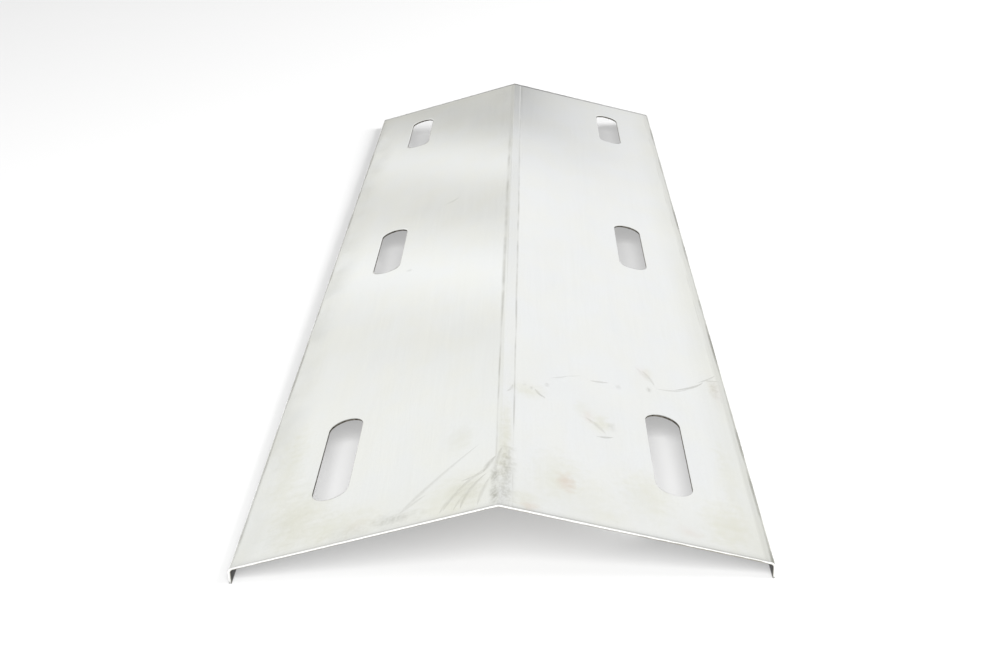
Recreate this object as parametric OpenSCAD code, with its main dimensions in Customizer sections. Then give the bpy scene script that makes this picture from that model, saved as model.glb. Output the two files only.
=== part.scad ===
// Heat plate for a gas barbecue: one thin stainless sheet folded along a central ridge into a
// shallow tent. A narrow flange is turned down along each long edge, and both wings have a row
// of round-ended slots that let heat through.
//
// Frame: +X across the plate, +Y along the ridge, +Z up. The origin is in the middle of the
// footprint, on the plane that the lower edges of the two flanges rest on.

/* [Plate] */
// Length along the ridge
plate_len = 457; // [300:1:600]
// Width over the two flanges
plate_w = 154; // [120:1:220]
// Height of the ridge line above the outer corners
ridge_rise = 20.3; // [10:0.1:40]
// Depth of each flange below its outer corner
flange_depth = 5; // [4:0.5:15]
// Thickness of the sheet
sheet_t = 0.8; // [0.6:0.1:1.2]

/* [Folds] */
// Inside radius of the ridge fold
ridge_r = 1.2; // [0.8:0.1:3]
// Inside radius of the two flange folds
flange_r = 1; // [0.8:0.1:1.5]

/* [Heat slots] */
// Number of slots in each wing
slot_count = 3; // [2:1:4]
// Overall length of a slot
slot_len = 50; // [20:1:60]
// Width of a slot
slot_w = 11.6; // [6:0.2:16]
// Distance from each end of the plate to the middle of the nearest slots
slot_end_gap = 50.5; // [40:0.5:55]
// Distance down the slope from the middle of a slot to the outer corner
slot_edge_gap = 26.5; // [14:0.5:35]

/* [Hidden] */
$fn = 96;

// A corner is where the outer faces of two straight stretches would meet without their fold
half_w = plate_w / 2;
wing_angle = atan(ridge_rise / half_w);
wing_len = half_w / cos(wing_angle);
flange_turn = 90 - wing_angle;
ridge_z = flange_depth + ridge_rise;

// How far each fold reaches back from its corner, and what that leaves straight
ridge_setback = (ridge_r + sheet_t) * tan(wing_angle);
flange_setback = (flange_r + sheet_t) * tan(flange_turn / 2);
wing_straight = wing_len - ridge_setback - flange_setback;
flange_straight = flange_depth - flange_setback;
ridge_centre_z = ridge_z - (ridge_r + sheet_t) / cos(wing_angle);

slot_pitch = (plate_len - 2 * slot_end_gap) / (slot_count - 1);
slot_from_ridge = wing_len - slot_edge_gap;
// How far a slot's cutting tool stands clear of the sheet on each side
cut_clear = 3;
// How far a fold runs on into its neighbours, so that they join as one solid
weld = 0.0002;

// A straight stretch of the sheet, starting at x = 0 with its inner face inner_r above the axis
module straight(length, inner_r) {
    translate([0, inner_r]) square([length, sheet_t]);
}

// A fold about the origin: it starts straight above it and turns clockwise by turn degrees
module fold(turn, inner_r) {
    reach = 2 * (inner_r + sheet_t);
    intersection() {
        difference() {
            circle(inner_r + sheet_t);
            circle(inner_r);
        }
        translate([-weld, 0]) square(reach);
        rotate(-turn) translate([weld - reach, 0]) square(reach);
    }
}

// The cross-section: the ridge fold, then a wing, a flange fold and a flange on each side of it
module section() {
    translate([0, ridge_centre_z]) {
        rotate(wing_angle) fold(2 * wing_angle, ridge_r);
        for (side = [0, 1]) mirror([side, 0]) rotate(-wing_angle) {
            straight(wing_straight, ridge_r);
            translate([wing_straight, ridge_r - flange_r]) {
                fold(flange_turn, flange_r);
                rotate(-flange_turn) straight(flange_straight, flange_r);
            }
        }
    }
}

// The folded sheet before its slots are cut
module folded_sheet() {
    translate([0, plate_len / 2, 0])
        rotate([90, 0, 0])
            linear_extrude(plate_len) section();
}

// The cutting tool for one slot, lying along Y and centred on the origin
module slot_cutter() {
    between_centres = slot_len - slot_w;
    depth = sheet_t + 2 * cut_clear;
    cube([slot_w, between_centres, depth], center = true);
    for (end = [-0.5, 0.5])
        translate([0, end * between_centres, 0]) cylinder(d = slot_w, h = depth, center = true);
}

// The cutting tools for the row of slots in the +X wing, square to its sheet
module wing_slots() {
    translate([0, 0, ridge_z])
        rotate([0, wing_angle, 0])
            for (i = [0 : slot_count - 1])
                translate([slot_from_ridge, (i - (slot_count - 1) / 2) * slot_pitch, -sheet_t / 2])
                    slot_cutter();
}

module heat_plate() {
    color([0.78, 0.78, 0.75])
        difference() {
            folded_sheet();
            for (side = [0, 1]) mirror([side, 0, 0]) wing_slots();
        }
}

heat_plate();
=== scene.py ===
"""Looks for the grill heat plate: one thin stainless sheet, folded along a ridge and slotted."""

import math

import bmesh
import bpy
from mathutils import Matrix, Vector, noise


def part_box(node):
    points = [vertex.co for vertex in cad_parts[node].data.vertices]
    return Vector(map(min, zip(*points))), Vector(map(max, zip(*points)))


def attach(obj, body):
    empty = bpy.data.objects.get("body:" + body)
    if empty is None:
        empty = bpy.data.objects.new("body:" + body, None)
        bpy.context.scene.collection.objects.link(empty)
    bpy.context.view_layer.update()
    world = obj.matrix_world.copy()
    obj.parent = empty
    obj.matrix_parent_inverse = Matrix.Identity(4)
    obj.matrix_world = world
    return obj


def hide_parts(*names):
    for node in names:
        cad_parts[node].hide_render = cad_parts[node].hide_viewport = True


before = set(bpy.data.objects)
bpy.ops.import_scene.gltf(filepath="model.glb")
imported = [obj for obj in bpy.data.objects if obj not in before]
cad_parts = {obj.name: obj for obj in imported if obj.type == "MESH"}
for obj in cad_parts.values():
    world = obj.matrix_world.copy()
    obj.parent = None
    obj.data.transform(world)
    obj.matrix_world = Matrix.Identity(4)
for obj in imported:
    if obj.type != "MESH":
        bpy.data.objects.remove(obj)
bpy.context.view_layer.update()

MM = 0.001
NODE = "heat_plate"
box_low, box_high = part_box(NODE)

# ---------------------------------------------------------------- the sheet's sizes, as in the frame
PLATE_LEN = box_high.y - box_low.y
HALF_W = box_high.x
SHEET_T = 0.8 * MM
RIDGE_RISE = 20.3 * MM
FLANGE_DEPTH = 5 * MM
RIDGE_R = 1.2 * MM
FLANGE_R = 1.0 * MM

SLOT_LEN = 50 * MM
SLOT_W = 11.6 * MM
SLOT_END_GAP = 50.5 * MM
SLOT_EDGE_GAP = 26.5 * MM
SLOTS_PER_WING = 3

WING_ANGLE = math.atan(RIDGE_RISE / HALF_W)
WING_LEN = HALF_W / math.cos(WING_ANGLE)
FLANGE_TURN = math.pi / 2 - WING_ANGLE
RIDGE_Z = FLANGE_DEPTH + RIDGE_RISE
RIDGE_SETBACK = (RIDGE_R + SHEET_T) * math.tan(WING_ANGLE)
FLANGE_SETBACK = (FLANGE_R + SHEET_T) * math.tan(FLANGE_TURN / 2)
RIDGE_CENTRE_Z = RIDGE_Z - (RIDGE_R + SHEET_T) / math.cos(WING_ANGLE)

# The unfolded sheet: s runs across it from the ridge line, along the middle of its thickness
RIDGE_ARC = (RIDGE_R + SHEET_T / 2) * WING_ANGLE
WING_RUN = WING_LEN - RIDGE_SETBACK - FLANGE_SETBACK
FLANGE_ARC = (FLANGE_R + SHEET_T / 2) * FLANGE_TURN
FLANGE_RUN = FLANGE_DEPTH - FLANGE_SETBACK
WING_END = RIDGE_ARC + WING_RUN
HALF_SHEET = WING_END + FLANGE_ARC + FLANGE_RUN
SLOT_S = WING_LEN - SLOT_EDGE_GAP - RIDGE_SETBACK + RIDGE_ARC
SLOT_PITCH = (PLATE_LEN - 2 * SLOT_END_GAP) / (SLOTS_PER_WING - 1)
SLOT_Y = [(i - (SLOTS_PER_WING - 1) / 2) * SLOT_PITCH for i in range(SLOTS_PER_WING)]

# ---------------------------------------------------------------- small marks of the making and of use
EDGE_EASE = 0.12 * MM       # rounding of the sheared edges
PATCH_HALF_W = 9 * MM       # the patch of mesh around a slot, half its width
PATCH_HALF_LEN = 29 * MM    # and half its length
RING_STEPS = (0.0, 0.14, 0.36, 0.66, 1.0)
DIE_MARK_CENTRE = 1.25 * MM # the press tool stood slightly to the right of the ridge line
DIE_MARK_S = 2.5 * MM       # how far each of its two shoulder marks is from its middle
DIE_MARK_HALF_W = 0.35 * MM
DIE_MARK_DEPTH = 0.05 * MM
DIE_ZONE = 5.2 * MM         # the die marks stay within this distance of the ridge line
WAVE_HEIGHT = 0.16 * MM     # gentle unevenness of the thin sheet
WAVE_ACROSS = 70 * MM       # and the spacing of its swells, across the plate and along it
WAVE_ALONG = 120 * MM
WAVE_FADE = 6 * MM          # it fades out over this distance before the flange folds
WAVE_SEED = 3.7

UPPER, UNDERSIDE, CUT_EDGE, SLOT_WALL = range(4)


def smoothstep(low, high, value):
    t = min(1.0, max(0.0, (value - low) / (high - low)))
    return t * t * (3 - 2 * t)


def section(s):
    """The folded section at s: x and z of the sheet's middle, and how far it has turned down."""
    side = 1 if s >= 0 else -1
    left = abs(s)
    radius = RIDGE_R + SHEET_T / 2
    if left <= RIDGE_ARC:
        turn = left / radius
        return side * radius * math.sin(turn), RIDGE_CENTRE_Z + radius * math.cos(turn), side * turn
    x = radius * math.sin(WING_ANGLE)
    z = RIDGE_CENTRE_Z + radius * math.cos(WING_ANGLE)
    run = min(left - RIDGE_ARC, WING_RUN)
    x += run * math.cos(WING_ANGLE)
    z -= run * math.sin(WING_ANGLE)
    left -= RIDGE_ARC + WING_RUN
    if left <= 0:
        return side * x, z, side * WING_ANGLE
    radius = FLANGE_R + SHEET_T / 2
    turn = WING_ANGLE + min(left, FLANGE_ARC) / radius
    x += radius * (math.sin(turn) - math.sin(WING_ANGLE))
    z += radius * (math.cos(turn) - math.cos(WING_ANGLE))
    z -= max(0.0, left - FLANGE_ARC)
    return side * x, z, side * turn


def die_mark(s):
    """Depth of the press tool's marks beside the ridge."""
    depth = 0.0
    for side in (-1, 1):
        off = (s - DIE_MARK_CENTRE - side * DIE_MARK_S) / DIE_MARK_HALF_W
        depth += DIE_MARK_DEPTH * math.exp(-off * off)
    return depth


def waviness(s, y):
    """How far the uneven sheet stands above its true surface, in metres. The flanges are even."""
    fade = 1 - smoothstep(WING_END - WAVE_FADE, WING_END, abs(s))
    place = Vector((s / WAVE_ACROSS, y / WAVE_ALONG, WAVE_SEED))
    return fade * WAVE_HEIGHT * noise.noise(place)


def sheet_point(s, y, depth):
    """A point of the folded sheet: depth is 0 on its upper face and SHEET_T on its lower one."""
    x, z, turn = section(s)
    up = SHEET_T / 2 - depth + waviness(s, y)
    up -= die_mark(s) * (1 - depth / SHEET_T)
    return Vector((x + up * math.sin(turn), y, z + up * math.cos(turn)))


# ---------------------------------------------------------------- the mesh of the sheet
def spread(start, end, pieces):
    """The ends of that many equal pieces, without the start."""
    return [start + (end - start) * (i + 1) / pieces for i in range(pieces)]


def column_lines():
    """Places of the mesh's lines across the sheet, closest at the folds, die marks and slots."""
    half = [0.0]
    half += spread(0.0, RIDGE_ARC, 3)
    half += spread(RIDGE_ARC, DIE_ZONE, 16)
    half += spread(DIE_ZONE, SLOT_S - PATCH_HALF_W, 13)
    half += spread(SLOT_S - PATCH_HALF_W, SLOT_S + PATCH_HALF_W, 12)
    half += spread(SLOT_S + PATCH_HALF_W, WING_END, 7)
    half += spread(WING_END, WING_END + FLANGE_ARC, 8)
    half += spread(WING_END + FLANGE_ARC, HALF_SHEET - EDGE_EASE, 3)
    return [-s for s in reversed(half[1:])] + half


def row_lines():
    """Places of the mesh's lines along the plate, closest at the cut ends and the slots' ends."""
    end = PLATE_LEN / 2
    round_len = PATCH_HALF_LEN - (SLOT_LEN - SLOT_W) / 2
    rows = [-end + EDGE_EASE]
    for middle in SLOT_Y:
        near = middle - PATCH_HALF_LEN
        rows += spread(rows[-1], near, max(7, round((near - rows[-1]) / (4 * MM))))
        rows += spread(near, near + round_len, 6)
        rows += spread(near + round_len, middle + PATCH_HALF_LEN - round_len, 10)
        rows += spread(middle + PATCH_HALF_LEN - round_len, middle + PATCH_HALF_LEN, 6)
    return rows + spread(rows[-1], end - EDGE_EASE, 7)


def slot_edge(ds, dy):
    """Where a patch's border point moves to on the slot's outline, and the way out of the metal there."""
    radius = SLOT_W / 2
    straight = (SLOT_LEN - SLOT_W) / 2
    side_s, side_y = (1 if ds >= 0 else -1), (1 if dy >= 0 else -1)
    if abs(dy) <= straight:
        return side_s * radius, dy, (-side_s, 0.0)
    up, across = PATCH_HALF_LEN - straight, PATCH_HALF_W
    walked = abs(dy) - straight if abs(abs(ds) - across) < 1e-9 else up + across - abs(ds)
    angle = math.pi / 2 * walked / (up + across)
    c, d = side_s * math.cos(angle), side_y * math.sin(angle)
    return radius * c, side_y * straight + radius * d, (-c, -d)


class SheetMesh:
    """Builds both faces of the sheet and the walls between them."""

    def __init__(self):
        self.bm = bmesh.new()
        self.uv = self.bm.loops.layers.uv.new("sheet")
        self.depth = self.bm.verts.layers.float.new("depth")
        self.flat = {}
        self.finish = UPPER
        self.columns = column_lines()
        self.rows = row_lines()

    def vertex(self, s, y, depth):
        v = self.bm.verts.new(sheet_point(s, y, depth))
        v[self.depth] = depth / SHEET_T
        self.flat[v] = (s, y)
        return v

    def face(self, corners):
        f = self.bm.faces.new(corners)
        f.smooth = True
        f.material_index = self.finish
        for loop in f.loops:
            s, y = self.flat[loop.vert]
            loop[self.uv].uv = (0.5 + s / PLATE_LEN, 0.5 + y / PLATE_LEN)

    def patch_index(self, i, j):
        """Which slot's patch the cell right of column i and beyond row j is in, or None."""
        s = (self.columns[i] + self.columns[i + 1]) / 2
        y = (self.rows[j] + self.rows[j + 1]) / 2
        for slot_y in SLOT_Y:
            if abs(abs(s) - SLOT_S) < PATCH_HALF_W and abs(y - slot_y) < PATCH_HALF_LEN:
                return (1 if s > 0 else -1, slot_y)
        return None

    def skin(self, depth, flip):
        """One face of the sheet. Returns its outer border and each slot's border, in order."""
        grid = {}
        patches = {}

        def at(i, j):
            if (i, j) not in grid:
                grid[i, j] = self.vertex(self.columns[i], self.rows[j], depth)
            return grid[i, j]

        for i in range(len(self.columns) - 1):
            for j in range(len(self.rows) - 1):
                key = self.patch_index(i, j)
                if key:
                    patches.setdefault(key, []).append((i, j))
                    continue
                self.quad(at(i, j), at(i + 1, j), at(i + 1, j + 1), at(i, j + 1), flip)
        rims = {}
        for key, cells in patches.items():
            border = walk(min(c[0] for c in cells), max(c[0] for c in cells) + 1,
                          min(c[1] for c in cells), max(c[1] for c in cells) + 1)
            rims[key] = self.ring(key, border, at, depth, flip)
        last_i, last_j = len(self.columns) - 1, len(self.rows) - 1
        outer = []
        for i, j in walk(0, last_i, 0, last_j):
            out = ((i == last_i) - (i == 0), (j == last_j) - (j == 0))
            s = self.columns[i] + out[0] * EDGE_EASE
            y = self.rows[j] + out[1] * EDGE_EASE
            outer.append((at(i, j), s, y, out))
        return outer, rims

    def quad(self, a, b, c, d, flip):
        self.face([a, d, c, b] if flip else [a, b, c, d])

    def ring(self, key, border, at, depth, flip):
        """Fills a patch from its border in to the slot's eased edge, and returns that edge."""
        side, slot_y = key
        layers = [[at(i, j) for i, j in border]]
        edge = []
        for i, j in border:
            ds = self.columns[i] - side * SLOT_S
            dy = self.rows[j] - slot_y
            es, ey, out = slot_edge(ds, dy)
            edge.append((ds, dy, es, ey, out))
        for step in RING_STEPS[::-1][1:]:
            layer = []
            for ds, dy, es, ey, out in edge:
                rs, ry = es - out[0] * EDGE_EASE, ey - out[1] * EDGE_EASE
                s = side * SLOT_S + rs + (ds - rs) * step
                y = slot_y + ry + (dy - ry) * step
                layer.append(self.vertex(s, y, depth))
            layers.append(layer)
        for outer, inner in zip(layers, layers[1:]):
            for k in range(len(outer)):
                n = (k + 1) % len(outer)
                self.quad(outer[k], outer[n], inner[n], inner[k], flip)
        return [(v, side * SLOT_S + es, slot_y + ey, out)
                for v, (_, _, es, ey, out) in zip(layers[-1], edge)]

    def wall(self, top, bottom, finish, flip):
        """The sheared edge between the two faces, rounded where it meets them."""
        ease = EDGE_EASE
        # How far back from the edge each ring of the wall lies, and how deep
        ring_places = [(0.35 * ease, 0.25 * ease), (0.0, ease), (0.0, SHEET_T / 2),
                       (0.0, SHEET_T - ease), (0.35 * ease, SHEET_T - 0.25 * ease)]
        rings = [[v for v, _, _, _ in top]]
        for inset, depth in ring_places:
            rings.append([self.vertex(s - out[0] * inset, y - out[1] * inset, depth)
                          for _, s, y, out in top])
        rings.append([v for v, _, _, _ in bottom])
        for number, (upper, lower) in enumerate(zip(rings, rings[1:])):
            # The rounding at the top of a slot's wall has the upper face's finish; below it the wall is
            # painted dark as shade
            self.finish = UPPER if finish == SLOT_WALL and number < 2 else finish
            for k in range(len(upper)):
                n = (k + 1) % len(upper)
                self.quad(lower[k], lower[n], upper[n], upper[k], flip)

    def build(self):
        top_outer, top_rims = self.skin(0.0, False)
        self.finish = UNDERSIDE
        low_outer, low_rims = self.skin(SHEET_T, True)
        self.wall(top_outer, low_outer, CUT_EDGE, False)
        for key in top_rims:
            self.wall(top_rims[key], low_rims[key], SLOT_WALL, True)
        mesh = bpy.data.meshes.new("folded_sheet")
        self.bm.to_mesh(mesh)
        self.bm.free()
        return mesh


def walk(i0, i1, j0, j1):
    """The border of a block of grid points, once round, anticlockwise from its first corner."""
    return ([(i, j0) for i in range(i0, i1)] + [(i1, j) for j in range(j0, j1)]
            + [(i, j1) for i in range(i1, i0, -1)] + [(i0, j) for j in range(j1, j0, -1)])


def make_sheet():
    piece = bpy.data.objects.new("folded_sheet", SheetMesh().build())
    bpy.context.scene.collection.objects.link(piece)
    for material in (upper_stainless(), underside_stainless(), cut_stainless(), painted_shade_slot_wall()):
        piece.data.materials.append(material)
    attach(piece, "root")
    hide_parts(NODE)


# ---------------------------------------------------------------- shader helpers
class Tree:
    """Builds the nodes of a material, a world or a node group in short steps."""

    def __init__(self, tree):
        self.tree = tree

    def add(self, kind, inputs=None, **settings):
        node = self.tree.nodes.new(kind)
        for name, value in settings.items():
            setattr(node, name, value)
        for name, value in (inputs or {}).items():
            self.put(node.inputs[name], value)
        return node

    def put(self, socket, value):
        if isinstance(value, bpy.types.NodeSocket):
            self.tree.links.new(value, socket)
        else:
            socket.default_value = value

    def math(self, operation, *values, clamp=False):
        node = self.add("ShaderNodeMath", dict(enumerate(values)), operation=operation)
        node.use_clamp = clamp
        return node.outputs[0]

    def vector(self, operation, *values, out=0, **named):
        node = self.add("ShaderNodeVectorMath", dict(enumerate(values)), operation=operation)
        for name, value in named.items():
            self.put(node.inputs[name.capitalize()], value)
        return node.outputs[out]

    def split(self, vector):
        """The three numbers of a vector."""
        return self.add("ShaderNodeSeparateXYZ", {0: vector}).outputs

    def strongest(self, first, *others):
        """The highest of several values."""
        for other in others:
            first = self.math("MAXIMUM", first, other)
        return first

    def ease(self, value, low, high, at_low=0.0, at_high=1.0):
        """Goes smoothly from at_low to at_high while the value goes from low to high."""
        inputs = {"Value": value, "From Min": low, "From Max": high, "To Min": at_low, "To Max": at_high}
        return self.add("ShaderNodeMapRange", inputs, interpolation_type="SMOOTHSTEP").outputs[0]

    def blend(self, amount, a, b, kind="MIX"):
        """The colour a, turned into b by the amount."""
        node = self.add("ShaderNodeMix", data_type="RGBA", blend_type=kind)
        for index, value in ((0, amount), (6, a), (7, b)):
            self.put(node.inputs[index], value)
        return node.outputs[2]

    def noise(self, place, across, along, detail=2.0, seed=0.0):
        """Noise from 0 to 1, with features that many millimetres wide and long."""
        scaled = self.vector("MULTIPLY", place, (1 / across, 1 / along, 1.0))
        moved = self.vector("ADD", scaled, (0.0, 0.0, seed))
        return self.add("ShaderNodeTexNoise", {"Vector": moved, "Scale": 1.0, "Detail": detail}).outputs[0]


def sheet_place(tree):
    """Where a point is on the unfolded sheet: millimetres across it from the ridge, and along it."""
    uv = tree.add("ShaderNodeUVMap", uv_map="sheet").outputs[0]
    centred = tree.vector("SUBTRACT", uv, (0.5, 0.5, 0.0))
    return tree.vector("SCALE", centred, scale=PLATE_LEN / MM)


def object_place(tree):
    """Where a point is in the plate's own frame, in millimetres."""
    return tree.vector("SCALE", tree.add("ShaderNodeTexCoord").outputs["Object"], scale=1 / MM)


def new_group(name, inputs):
    """A node group with the named inputs, and one mask from 0 to 1 out."""
    group = bpy.data.node_groups.new(name, "ShaderNodeTree")
    for label, kind in inputs:
        group.interface.new_socket(label, in_out="INPUT", socket_type=kind)
    group.interface.new_socket("Mask", in_out="OUTPUT", socket_type="NodeSocketFloat")
    tree = Tree(group)
    return group, tree, tree.add("NodeGroupInput").outputs


def stroke_group():
    """A tapering, slightly bowed scratch from Start to End: 1 along its middle and 0 beside it."""
    group, tree, given = new_group("stroke", [
        ("Place", "NodeSocketVector"), ("Start", "NodeSocketVector"), ("End", "NodeSocketVector"),
        ("Half Width", "NodeSocketFloat"), ("Bow", "NodeSocketFloat")])
    from_start = tree.vector("SUBTRACT", given["Place"], given["Start"])
    axis = tree.vector("SUBTRACT", given["End"], given["Start"])
    square = tree.vector("DOT_PRODUCT", axis, axis, out=1)
    along = tree.math("DIVIDE", tree.vector("DOT_PRODUCT", from_start, axis, out=1), square, clamp=True)
    off = tree.vector("SUBTRACT", from_start, tree.vector("SCALE", axis, scale=along))
    centred = tree.math("MULTIPLY_ADD", along, 2.0, -1.0)
    body = tree.math("SUBTRACT", 1.0, tree.math("MULTIPLY", centred, centred))
    sideways = tree.vector("NORMALIZE", tree.vector("CROSS_PRODUCT", axis, (0.0, 0.0, 1.0)))
    bow = tree.vector("SCALE", sideways, scale=tree.math("MULTIPLY", body, given["Bow"]))
    distance = tree.vector("LENGTH", tree.vector("SUBTRACT", off, bow), out=1)
    reach = tree.math("MULTIPLY", given["Half Width"], tree.math("MULTIPLY_ADD", body, 0.9, 0.1))
    mask = tree.ease(tree.math("DIVIDE", distance, reach), 0.0, 1.0, 1.0, 0.0)
    tree.add("NodeGroupOutput", {0: mask})
    return group


def spot_group():
    """A soft spot about a centre, with a ragged border."""
    group, tree, given = new_group("spot", [
        ("Place", "NodeSocketVector"), ("Centre", "NodeSocketVector"), ("Shape", "NodeSocketVector"),
        ("Ragged", "NodeSocketFloat")])
    off = tree.vector("SUBTRACT", given["Place"], given["Centre"])
    distance = tree.vector("LENGTH", tree.vector("DIVIDE", off, given["Shape"]), out=1)
    rough = tree.math("MULTIPLY", tree.noise(given["Place"], 3.0, 3.0, detail=4.0), given["Ragged"])
    mask = tree.ease(tree.math("ADD", distance, rough), 0.35, 1.35, 1.0, 0.0)
    tree.add("NodeGroupOutput", {0: mask})
    return group


# ---------------------------------------------------------------- wear of the upper face, and painted shade on it
# Places and sizes are in millimetres on the unfolded sheet, and a strength is from 0 to 1.
# Scratches: start, end, half width, bow, strength
SCRATCHES = [
    ((-7, -192), (-30, -222), 1.2, 0.7, 0.15),
    ((-17, -204), (-29.5, -221.5), 1.3, 0.3, 0.17),
    ((-22, -214), (-30, -222), 1.2, 0.2, 0.16),
    ((-1.2, -201), (-5, -209), 1.5, 0.2, 0.34),
    ((-4, -208), (-11.5, -211), 1.2, -0.6, 0.22),
    ((-3, -206), (-16, -225), 1.3, 1.8, 0.22),
    ((-4, -210), (-11, -226), 1.4, 1.4, 0.25),
    ((-10, -216), (-17, -226), 1.2, 1.2, 0.17),
    ((-5, -212), (-13, -226), 1.1, 1.0, 0.17),
    ((-2.5, -212), (-6, -226), 1.1, 0.5, 0.20),
    ((0.5, -196), (-1.5, -214), 1.2, 0.4, 0.26),
    ((2.6, -196), (0.5, -212), 1.0, -0.5, 0.24),
    ((3.2, -203), (1.0, -224), 1.2, 0.6, 0.26),
    ((49, -122), (52.5, -132), 1.1, -0.4, 0.20),
    ((47, -121), (51, -130), 1.6, -0.4, 0.09),
    ((53, -134), (65, -129), 0.9, 1.2, 0.24),
    ((60, -131.5), (71, -121), 1.0, 1.0, 0.38),
    ((69, -122), (76.5, -113), 0.8, 0.3, 0.26),
    ((71, -119), (78, -117), 1.0, 0.2, 0.26),
    ((29.5, -139), (36, -137.5), 1.1, 0.2, 0.28),
    ((16, -143.5), (22, -139), 0.8, 0.3, 0.18),
    ((21, -139.5), (26, -137), 0.7, 0.2, 0.10),
    ((11, -156), (14, -159), 0.9, 0.1, 0.32),
    ((10.5, -154), (12.5, -157.5), 0.9, 0.1, 0.22),
    ((1.2, -160), (3.2, -154), 1.0, 0.5, 0.22),
    ((30, -177), (35.5, -175.5), 1.0, 0.4, 0.34),
    ((27, -166), (33, -174), 1.5, -0.5, 0.17),
    ((-31, 42), (-24, 48), 1.2, 0.5, 0.16),
    ((-29, 43), (-26, 45), 1.2, 0.2, 0.18),
]
# Dark smudges: centre, half width and half length, strength
SMUDGES = [
    ((-31, -223), (13, 6), 0.28),
    ((-44, -225), (14, 7), 0.14),
    ((-1.2, -212), (2.4, 11), 0.56),
    ((-1.0, -222), (2.6, 9), 0.54),
    ((1.8, -208), (4.0, 24), 0.40),
    ((1.2, -222), (5.0, 14), 0.36),
    ((-5, 208), (16, 46), 0.20),
    ((-9, -216), (9, 11), 0.12),
    ((50.3, -136), (1.4, 3.0), 0.38),
    ((14.7, -149), (1.4, 2.4), 0.26),
    ((9.4, -154), (1.2, 2.2), 0.24),
    ((7, -152.5), (1.2, 1.6), 0.16),
    ((39.3, -139), (1.6, 3.0), 0.15),
    ((74.8, -125), (3.4, 15), 0.22),
    ((76.5, -132), (2.4, 6), 0.18),
    ((35.5, -169), (2.4, 5), 0.18),
    ((-42, -30), (2.0, 2.6), 0.16),
    ((-13, -184), (7, 12), 0.04),
    ((-66, -212), (22, 36), 0.09),
]
# Olive stains of burnt fat, and redder ones of rust: centre, half width and half length, strength
STAINS = [
    ((17, -209), (14, 24), 0.30),
    ((20, -216), (28, 24), 0.14),
    ((43, -207), (13, 22), 0.24),
    ((26, -160), (5, 8), 0.16),
    ((32, -168), (5, 9), 0.40),
    ((8, -223), (9, 9), 0.34),
    ((30, -222), (12, 8), 0.18),
    ((72, -188), (7, 48), 0.22),
    ((68, -214), (13, 24), 0.26),
    ((-12, -218), (18, 18), 0.22),
    ((-69, -180), (8, 40), 0.26),
    ((-62, -210), (16, 28), 0.22),
    ((-48, -220), (20, 14), 0.28),
    ((-13, -186), (8, 14), 0.12),
    ((1.2, -194), (3.4, 38), 0.34),
    ((8, -156), (9, 9), 0.24),
    ((51, -124), (3, 9), 0.14),
    ((74, -124), (4, 14), 0.20),
]
RUST_SPOTS = [
    ((49, -124), (4, 10), 0.12),
    ((75, -126), (4, 16), 0.12),
    ((19.5, -209), (4.4, 9), 0.46),
    ((28, -165), (3.2, 7), 0.26),
    ((9, -226), (4.5, 5), 0.34),
    ((55, -222), (6, 5), 0.14),
    ((-42, -222), (6, 6), 0.10),
]
RAGGED = 0.9                # how far a spot's border strays, as a share of the spot's size

# Colours of the metal, of what is on it, and of the painted shade
COOL_STEEL = (0.825, 0.838, 0.836, 1)
WARM_STEEL = (0.83, 0.838, 0.815, 1)
HANDLED_STEEL = (0.74, 0.735, 0.66, 1)
DULL_STEEL = (0.74, 0.735, 0.70)
SHEARED_STEEL = (0.92, 0.92, 0.90)
TORN_STEEL = (0.36, 0.35, 0.31, 1)
# Dark colour of the dirt, and of the shade painted along the ridge, the bends and the cut ends
DIRT_AND_SHADE = (0.20, 0.195, 0.15, 1)
BURNT_FAT = (0.62, 0.60, 0.36, 1)
RUST = (0.66, 0.48, 0.38, 1)
HEAT_TINT = (0.62, 0.52, 0.36, 1)
# Black painted inside the flanges as shade
FLANGE_SHADE_BLACK = (0.02, 0.02, 0.018, 1)
# Dark and less dark painted shade of the slot walls
SLOT_SHADE_DARK = (0.10, 0.09, 0.07, 1)
SLOT_SHADE_LIGHT = (0.30, 0.28, 0.24, 1)


def add_up(tree, group, place, rows, inputs):
    """The marks of one list, each times its strength, joined by the strongest."""
    total = 0.0
    for *shape, strength in rows:
        values = [tuple(v) + (0.0,) if isinstance(v, tuple) else v for v in shape]
        node = tree.add("ShaderNodeGroup", node_tree=group)
        for name, value in zip(inputs, [place] + values):
            tree.put(node.inputs[name], value)
        total = tree.strongest(total, tree.math("MULTIPLY", node.outputs[0], strength))
    return total


def spots(tree, group, place, rows):
    """The spots of one list, all equally ragged."""
    rows = [(centre, size, RAGGED, strength) for centre, size, strength in rows]
    return add_up(tree, group, place, rows, ("Place", "Centre", "Shape", "Ragged"))


def patchy_dark_line(tree, place, off, half_width, patch, seed):
    """A dark line that is off away, darker in some stretches than in others: grime in the die marks,
    painted shade at the bends and the cut ends.
    """
    line = tree.ease(tree.math("ABSOLUTE", off), 0.0, half_width, 1.0, 0.0)
    patches = tree.noise(place, 300.0, patch, detail=3.0, seed=seed)
    return tree.math("MULTIPLY", line, tree.ease(patches, 0.35, 0.65, 0.30, 1.0))


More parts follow.
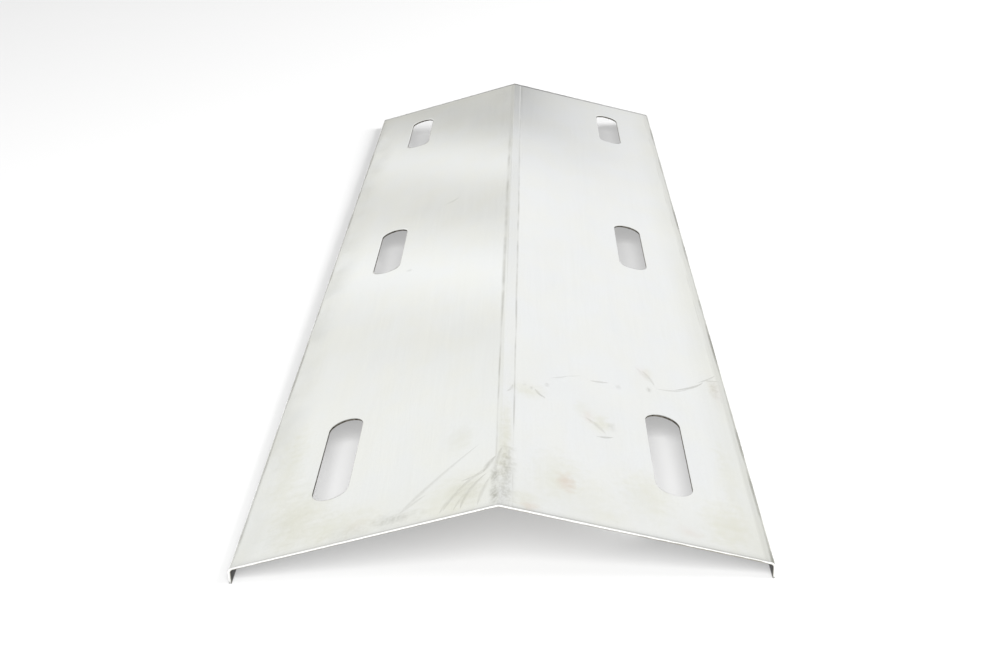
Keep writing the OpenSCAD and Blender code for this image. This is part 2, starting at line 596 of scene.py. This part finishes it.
def die_mark_grime(tree, place, across, along):
    """Grime in the two marks beside the ridge: fine lines, broader and fainter towards the far end."""
    total = 0.0
    for side, far_half_width, seed in ((-1, 1.2, 2.0), (1, 0.7, 7.0)):
        half_width = tree.ease(along, -150.0, -40.0, 0.5, far_half_width)
        wander = tree.math("MULTIPLY_ADD", tree.noise(place, 400.0, 60.0, seed=seed), 0.8, -0.4)
        middle = (DIE_MARK_CENTRE + side * DIE_MARK_S) / MM
        off = tree.math("SUBTRACT", tree.math("SUBTRACT", across, middle), wander)
        total = tree.strongest(total, patchy_dark_line(tree, place, off, half_width, 26.0, seed + 1))
    total = tree.math("MULTIPLY", total, tree.ease(along, -190.0, -162.0, 0.45, 1.0))
    return tree.math("MULTIPLY", total, tree.ease(along, 20.0, 120.0, 0.42, 0.20))


def ridge_painted_shade(tree, across, along):
    """Painted shade on the ridge: a soft line that darkens towards the far end, and a faint band between
    its marks.
    """
    off = tree.math("ABSOLUTE", tree.math("ADD", across, 0.7))
    line = tree.ease(off, 0.3, 2.1, 1.0, 0.0)
    line = tree.math("MULTIPLY", line, tree.ease(along, 60.0, 200.0, 0.0, 0.24))
    off = tree.math("ABSOLUTE", tree.math("SUBTRACT", across, DIE_MARK_CENTRE / MM))
    band = tree.ease(off, DIE_MARK_S / MM - 0.5, DIE_MARK_S / MM + 0.3, 1.0, 0.0)
    band = tree.math("MULTIPLY", band, tree.ease(along, -90.0, 0.0, 0.03, 0.11))
    band = tree.math("MULTIPLY", band, tree.ease(along, 55.0, 100.0, 1.0, 0.1))
    return tree.strongest(line, band)


def left_bend_darkening(tree, place, across, patches):
    """A thin dark line painted on the left bend as shade, and a wide faint patchy darkening beside it."""
    to_bend = tree.math("ADD", across, WING_END / MM + 0.3)
    line = tree.math("MULTIPLY", patchy_dark_line(tree, place, to_bend, 1.0, 24.0, 12.0), 0.62)
    wide = tree.math("MULTIPLY", tree.ease(to_bend, 0.0, 14.0, 0.19, 0.0), patches)
    return tree.strongest(line, wide)


def right_bend_darkening(tree, place, across, along, patches):
    """Shade painted on the right bend: a dark line on it and a grey band with a faint line beside it; and a
    wide faint patchy darkening.
    """
    bend = WING_END / MM
    band = tree.ease(across, bend - 2.6, bend - 1.0, 0.0, 0.17)
    inner = tree.math("SUBTRACT", across, bend - 2.0)
    inner = tree.math("MULTIPLY", patchy_dark_line(tree, place, inner, 0.6, 22.0, 31.0), 0.20)
    inner = tree.math("MULTIPLY", inner, tree.ease(along, -150.0, -60.0, 0.3, 1.0))
    outer = tree.math("SUBTRACT", across, bend + 0.5)
    outer = tree.math("MULTIPLY", patchy_dark_line(tree, place, outer, 1.1, 36.0, 34.0), 0.85)
    wide = tree.math("MULTIPLY", tree.ease(across, bend - 14.0, bend, 0.0, 0.07), patches)
    return tree.strongest(band, inner, outer, wide)


def cut_end_painted_shade(tree, place, along):
    """Patchy painted shade on the last millimetre before each cut end."""
    off = tree.math("SUBTRACT", tree.math("ABSOLUTE", along), PLATE_LEN / 2 / MM)
    line = patchy_dark_line(tree, place, off, 1.0, 300.0, 17.0)
    return tree.math("MULTIPLY", line, tree.math("MULTIPLY", tree.noise(place, 14.0, 300.0), 0.6))


def line_grime_and_shade(tree, place):
    """The grime in the die marks, the shade painted along the ridge, the bends and the cut ends, and a
    faint darkening beside the bends.
    """
    across, along, _ = tree.split(place)
    patches = tree.noise(place, 18.0, 34.0, detail=3.0, seed=15.0)
    patches = tree.ease(patches, 0.35, 0.65, 0.35, 1.0)
    return tree.strongest(die_mark_grime(tree, place, across, along), ridge_painted_shade(tree, across, along),
                          left_bend_darkening(tree, place, across, patches),
                          right_bend_darkening(tree, place, across, along, patches),
                          cut_end_painted_shade(tree, place, along))


def ends_and_sides(tree, place):
    """1 at the cut ends and less at the outer bends, fading out over one to three centimetres."""
    across, along, _ = tree.split(place)
    end = PLATE_LEN / 2 / MM
    side = WING_END / MM
    ends = tree.ease(tree.math("ABSOLUTE", along), end - 30, end)
    sides = tree.math("MULTIPLY", tree.ease(tree.math("ABSOLUTE", across), side - 16, side), 0.3)
    return tree.strongest(ends, sides)


def metal(name):
    material = bpy.data.materials.new(name)
    material.use_nodes = True
    shader = material.node_tree.nodes["Principled BSDF"]
    shader.inputs["Metallic"].default_value = 1.0
    return material, Tree(material.node_tree), shader


def rolled_finish(tree, place):
    """Grain along the plate, and broad cloudiness, each from 0 to 1."""
    fine = tree.noise(place, 0.3, 24.0, detail=3.0)
    broad = tree.noise(place, 1.7, 120.0, detail=2.0, seed=4.0)
    grain = tree.math("MULTIPLY_ADD", fine, 0.6, tree.math("MULTIPLY", broad, 0.4))
    cloud = tree.noise(place, 22.0, 34.0, detail=4.0, seed=9.0)
    return grain, cloud


def finish_metal(tree, shader, colour, roughness, height, depth):
    """Joins the parts of a metal to its shader. Its highlights stretch across the grain."""
    tree.put(shader.inputs["Base Color"], colour)
    tree.put(shader.inputs["Roughness"], roughness)
    shader.inputs["Anisotropic"].default_value = 0.9
    tangent = tree.add("ShaderNodeTangent", direction_type="UV_MAP", uv_map="sheet")
    tree.put(shader.inputs["Tangent"], tangent.outputs[0])
    bump = tree.add("ShaderNodeBump", {"Strength": 1.0, "Distance": depth, "Height": height})
    tree.put(shader.inputs["Normal"], bump.outputs[0])


def bare_steel(tree, place, grain, cloud, crumbs):
    """The clean upper face, slightly uneven in brightness and in tint."""
    tone = tree.math("MULTIPLY_ADD", grain, 0.07, 0.965)
    tone = tree.math("MULTIPLY", tone, tree.math("MULTIPLY_ADD", cloud, 0.05, 0.975))
    tone = tree.math("MULTIPLY", tone, tree.math("MULTIPLY_ADD", crumbs, 0.05, 0.975))
    tint = tree.ease(tree.noise(place, 13.0, 24.0, detail=4.0, seed=21.0), 0.35, 0.65)
    colour = tree.vector("SCALE", tree.blend(tint, COOL_STEEL, WARM_STEEL), scale=tone)
    border = tree.math("MULTIPLY", ends_and_sides(tree, place), tree.ease(cloud, 0.35, 0.65, 0.35, 1.0))
    return tree.blend(tree.math("MULTIPLY", border, 0.34), colour, HANDLED_STEEL)


def upper_marks(tree, place, cloud, crumbs):
    """How much dirt and painted shade, burnt fat and rust there is at each place of the upper face."""
    stroke, spot = stroke_group(), spot_group()
    scratches = add_up(tree, stroke, place, SCRATCHES, ("Place", "Start", "End", "Half Width", "Bow"))
    scratches = tree.math("MULTIPLY", scratches, tree.ease(crumbs, 0.3, 0.55, 0.55, 1.0))
    smudges = spots(tree, spot, place, SMUDGES)
    smudges = tree.math("MULTIPLY", smudges, tree.ease(crumbs, 0.33, 0.62, 0.45, 1.0))
    dirt_and_shade = tree.strongest(scratches, smudges, line_grime_and_shade(tree, place))
    patchy = tree.ease(cloud, 0.3, 0.6, 0.6, 1.0)
    fat = tree.math("MULTIPLY", spots(tree, spot, place, STAINS), patchy)
    right_edge = tree.ease(tree.split(place)[0], 64.0, 77.0, 0.0, 0.10)
    rust = tree.math("MULTIPLY", spots(tree, spot, place, RUST_SPOTS), patchy)
    return dirt_and_shade, tree.strongest(fat, right_edge), rust


def upper_stainless():
    """The upper face: satin rolled steel, worn and stained in use, with shade painted along the ridge, the
    bends and the cut ends.
    """
    material, tree, shader = metal("upper_stainless")
    place = sheet_place(tree)
    grain, cloud = rolled_finish(tree, place)
    crumbs = tree.noise(place, 0.8, 1.4, detail=4.0, seed=3.0)
    dirt_and_shade, fat, rust = upper_marks(tree, place, cloud, crumbs)
    colour = bare_steel(tree, place, grain, cloud, crumbs)
    # The dirt colour also paints shade along the ridge, the bends and the cut ends
    for amount, mark in ((fat, BURNT_FAT), (rust, RUST), (dirt_and_shade, DIRT_AND_SHADE)):
        colour = tree.blend(amount, colour, mark)
    roughness = tree.math("MULTIPLY_ADD", grain, 0.04, 0.10)
    roughness = tree.math("MULTIPLY_ADD", cloud, 0.03, roughness)
    roughness = tree.math("MULTIPLY_ADD", tree.strongest(dirt_and_shade, fat), 0.25, roughness)
    finish_metal(tree, shader, colour, roughness, grain, 0.0015 * MM)
    return material


def underside_stainless():
    """The face over the burner: duller, heat-tinted along the middle, and painted black inside the flanges
    as shade.
    """
    material, tree, shader = metal("underside_stainless")
    place = sheet_place(tree)
    grain, cloud = rolled_finish(tree, place)
    across = tree.math("ABSOLUTE", tree.split(place)[0])
    heat = tree.ease(across, 10.0, 52.0, 1.0, 0.0)
    heat = tree.math("MULTIPLY", heat, tree.ease(cloud, 0.25, 0.65, 0.4, 1.0))
    colour = tree.vector("SCALE", DULL_STEEL, scale=tree.math("MULTIPLY_ADD", grain, 0.10, 0.93))
    colour = tree.blend(tree.math("MULTIPLY", heat, 0.45), colour, HEAT_TINT)
    # Painted shade: the inside of each flange turns black
    flange_shade = tree.ease(across, WING_END / MM - 1.5, (WING_END + FLANGE_ARC / 2) / MM, 0.0, 0.97)
    colour = tree.blend(flange_shade, colour, FLANGE_SHADE_BLACK)
    roughness = tree.math("MULTIPLY_ADD", grain, 0.08, 0.24)
    roughness = tree.math("MULTIPLY_ADD", tree.strongest(heat, flange_shade), 0.08, roughness)
    finish_metal(tree, shader, colour, roughness, grain, 0.003 * MM)
    return material


def finish_cut(tree, shader, colour, roughness, height, strength, depth):
    """Joins the parts of a cut or punched surface to its shader."""
    tree.put(shader.inputs["Base Color"], colour)
    tree.put(shader.inputs["Roughness"], roughness)
    bump = tree.add("ShaderNodeBump", {"Strength": strength, "Distance": depth, "Height": height})
    tree.put(shader.inputs["Normal"], bump.outputs[0])


def cut_stainless():
    """Sheared edges: a bright smooth band above a torn grey one, broader where the shear was blunt."""
    material, tree, shader = metal("cut_stainless")
    place = object_place(tree)
    shear = tree.noise(place, 0.25, 0.25, detail=3.0)
    depth = tree.add("ShaderNodeAttribute", attribute_name="depth").outputs["Fac"]
    across = tree.split(place)[0]
    corner = tree.ease(across, 72.0, 75.0, 0.0, 0.15)
    blunt = tree.math("SUBTRACT", tree.ease(across, 25.0, 60.0, 0.0, 0.15), corner)
    waves = tree.noise(place, 2.5, 2.5, detail=3.0, seed=5.0)
    reach = tree.math("MULTIPLY_ADD", waves, tree.math("MULTIPLY_ADD", blunt, 1.6, 0.3), blunt)
    torn = tree.ease(tree.math("ADD", depth, reach), 0.80, 0.95)
    bright = tree.vector("SCALE", SHEARED_STEEL, scale=tree.math("MULTIPLY_ADD", shear, 0.12, 0.92))
    colour = tree.blend(torn, bright, TORN_STEEL)
    roughness = tree.math("MULTIPLY_ADD", torn, 0.25, 0.3)
    finish_cut(tree, shader, colour, roughness, shear, 0.6, 0.01 * MM)
    return material


def painted_shade_slot_wall():
    """The punched walls of the slots, painted dark and mottled as shade."""
    material, tree, shader = metal("painted_shade_slot_wall")
    shade_mottle = tree.noise(object_place(tree), 1.2, 1.2, detail=4.0)
    colour = tree.blend(tree.ease(shade_mottle, 0.35, 0.65), SLOT_SHADE_DARK, SLOT_SHADE_LIGHT)
    roughness = tree.math("MULTIPLY_ADD", shade_mottle, 0.3, 0.35)
    finish_cut(tree, shader, colour, roughness, shade_mottle, 0.8, 0.02 * MM)
    return material


def pale_floor():
    """A plain dull white that glows a little, so that shadows on it stay soft."""
    material = bpy.data.materials.new("pale_floor")
    material.use_nodes = True
    inputs = material.node_tree.nodes["Principled BSDF"].inputs
    inputs["Base Color"].default_value = (0.2, 0.2, 0.2, 1)
    inputs["Roughness"].default_value = 0.95
    inputs["Specular IOR Level"].default_value = 0.0
    inputs["Emission Color"].default_value = (1, 1, 1, 1)
    inputs["Emission Strength"].default_value = 0.395
    return material


# ---------------------------------------------------------------- floor, light and camera
FLOOR_HALF = 12.0

# Brightness of the soft bands in the studio's far left, each at its place up the wall
LEFT_BANDS = [(0.29, 0.76), (0.322, 0.55), (0.347, 1.20), (0.366, 0.87), (0.388, 0.78), (0.412, 0.97),
              (0.434, 1.17), (0.456, 1.02), (0.486, 0.93), (0.515, 1.00), (0.55, 1.03), (0.60, 1.03)]


def make_floor():
    mesh = bpy.data.meshes.new("floor")
    corners = [(x * FLOOR_HALF, y * FLOOR_HALF, 0) for x, y in ((-1, -1), (1, -1), (1, 1), (-1, 1))]
    mesh.from_pydata(corners, [], [(0, 1, 2, 3)])
    mesh.materials.append(pale_floor())
    floor = bpy.data.objects.new("floor", mesh)
    bpy.context.scene.collection.objects.link(floor)


def curve(tree, value, stops):
    """A smooth curve through the stops, each a place and the level there."""
    low, high = stops[0][0], stops[-1][0]
    inputs = {"Value": value, "From Min": low, "From Max": high}
    node = tree.add("ShaderNodeValToRGB", {0: tree.add("ShaderNodeMapRange", inputs).outputs[0]})
    node.color_ramp.interpolation = "EASE"
    points = node.color_ramp.elements
    for _ in stops[2:]:
        points.new(0.5)
    for point, (at, level) in zip(points, stops):
        point.position = (at - low) / (high - low)
        point.color = (level, level, level, 1)
    return node.outputs[0]


def far_left(tree, across, up):
    """Soft bands, nearly level, that are warmer where they are dimmer."""
    level = curve(tree, tree.math("MULTIPLY_ADD", tree.math("ABSOLUTE", across), 0.6, up), LEFT_BANDS)
    warmth = tree.blend(tree.ease(level, 0.84, 1.22), (0.988, 0.981, 0.94, 1), (0.99, 0.997, 1.0, 1))
    return tree.blend(1.0, level, warmth, "MULTIPLY")


def far_right(tree, across, up):
    """An even white, dimmer low down towards the middle."""
    middle = tree.ease(across, 0.105, 0.142, 0.28, 0.0)
    dim = tree.math("ADD", tree.ease(across, 0.05, 0.28, 0.40, 0.03), middle)
    dim = tree.math("MULTIPLY", dim, tree.ease(up, 0.232, 0.274, 1.0, 0.0))
    dim = tree.math("MULTIPLY", dim, tree.ease(up, 0.219, 0.231, 0.80, 1.08))
    return tree.math("SUBTRACT", 1.03, dim)


def far_wall(tree, across, up):
    """What stands beyond the far end of the plate, dimmer towards its foot."""
    side = tree.ease(across, -0.12, 0.10)
    level = tree.blend(side, far_left(tree, across, up), far_right(tree, across, up))
    return tree.blend(1.0, level, tree.ease(up, 0.04, 0.19, 0.55, 1.0), "MULTIPLY")


def surround(tree, ahead, up):
    """The rest of the studio, dimmer low down, overhead and behind the camera."""
    overhead = tree.ease(up, 0.5, 0.95, 0.0, 0.42)
    level = tree.math("SUBTRACT", tree.ease(up, -0.1, 0.4, 0.62, 0.96), overhead)
    return tree.math("MULTIPLY", level, tree.ease(ahead, -0.9, 0.2, 0.84, 1.0))


def make_world():
    """A pale soft studio all round the plate, which the metal mirrors."""
    world = bpy.data.worlds.new("studio")
    bpy.context.scene.world = world
    world.use_nodes = True
    tree = Tree(world.node_tree)
    across, ahead, up = tree.split(tree.add("ShaderNodeTexCoord").outputs["Generated"])
    facing = tree.ease(ahead, 0.55, 0.85)
    level = tree.blend(facing, surround(tree, ahead, up), far_wall(tree, across, up))
    background = world.node_tree.nodes["Background"]
    tree.put(background.inputs["Color"], level)
    background.inputs["Strength"].default_value = 1.0


def make_soft_light(name, azimuth, elevation, distance, size, watts, aim):
    """A square soft light that brightens the floor. The metal doesn't mirror it."""
    azimuth, elevation = math.radians(azimuth), math.radians(elevation)
    light = bpy.data.lights.new(name, "AREA")
    light.shape = "SQUARE"
    light.size = size
    light.energy = watts
    lamp = bpy.data.objects.new(name, light)
    bpy.context.scene.collection.objects.link(lamp)
    towards = Vector((math.sin(azimuth) * math.cos(elevation), math.cos(azimuth) * math.cos(elevation),
                      math.sin(elevation)))
    lamp.location = Vector(aim) + towards * distance
    lamp.rotation_euler = towards.to_track_quat("Z", "Y").to_euler()
    lamp.visible_glossy = False


def make_lights():
    """A broad light from the right, and a small one that brightens the floor at the near end."""
    near_end = (0, -PLATE_LEN / 2, 0)
    make_soft_light("right_light", 82, 30, 2.4, 1.8, 275, (0, 0, 0))
    make_soft_light("front_light", 178, 48, 0.68, 0.45, 16, near_end)


def make_camera():
    """Stands beyond the near end of the plate, looking down along it."""
    place = Vector((11.83, -549.56, 224.35)) * MM
    pitch, yaw, roll = math.radians(24.62), math.radians(-1.79), math.radians(1.61)
    lens_mm, sensor_mm = 49.28, 36
    camera = bpy.data.objects.new("camera", bpy.data.cameras.new("camera"))
    bpy.context.scene.collection.objects.link(camera)
    camera.data.sensor_width = sensor_mm
    camera.data.lens = lens_mm
    camera.data.clip_start = 0.01
    turn = (Matrix.Rotation(-yaw, 4, "Z") @ Matrix.Rotation(math.pi / 2 - pitch, 4, "X")
            @ Matrix.Rotation(-roll, 4, "Z"))
    camera.matrix_world = Matrix.Translation(place) @ turn
    bpy.context.scene.camera = camera


bpy.context.scene.view_settings.view_transform = "Standard"
make_camera()
make_world()
make_lights()
make_floor()
make_sheet()

bpy.context.view_layer.update()
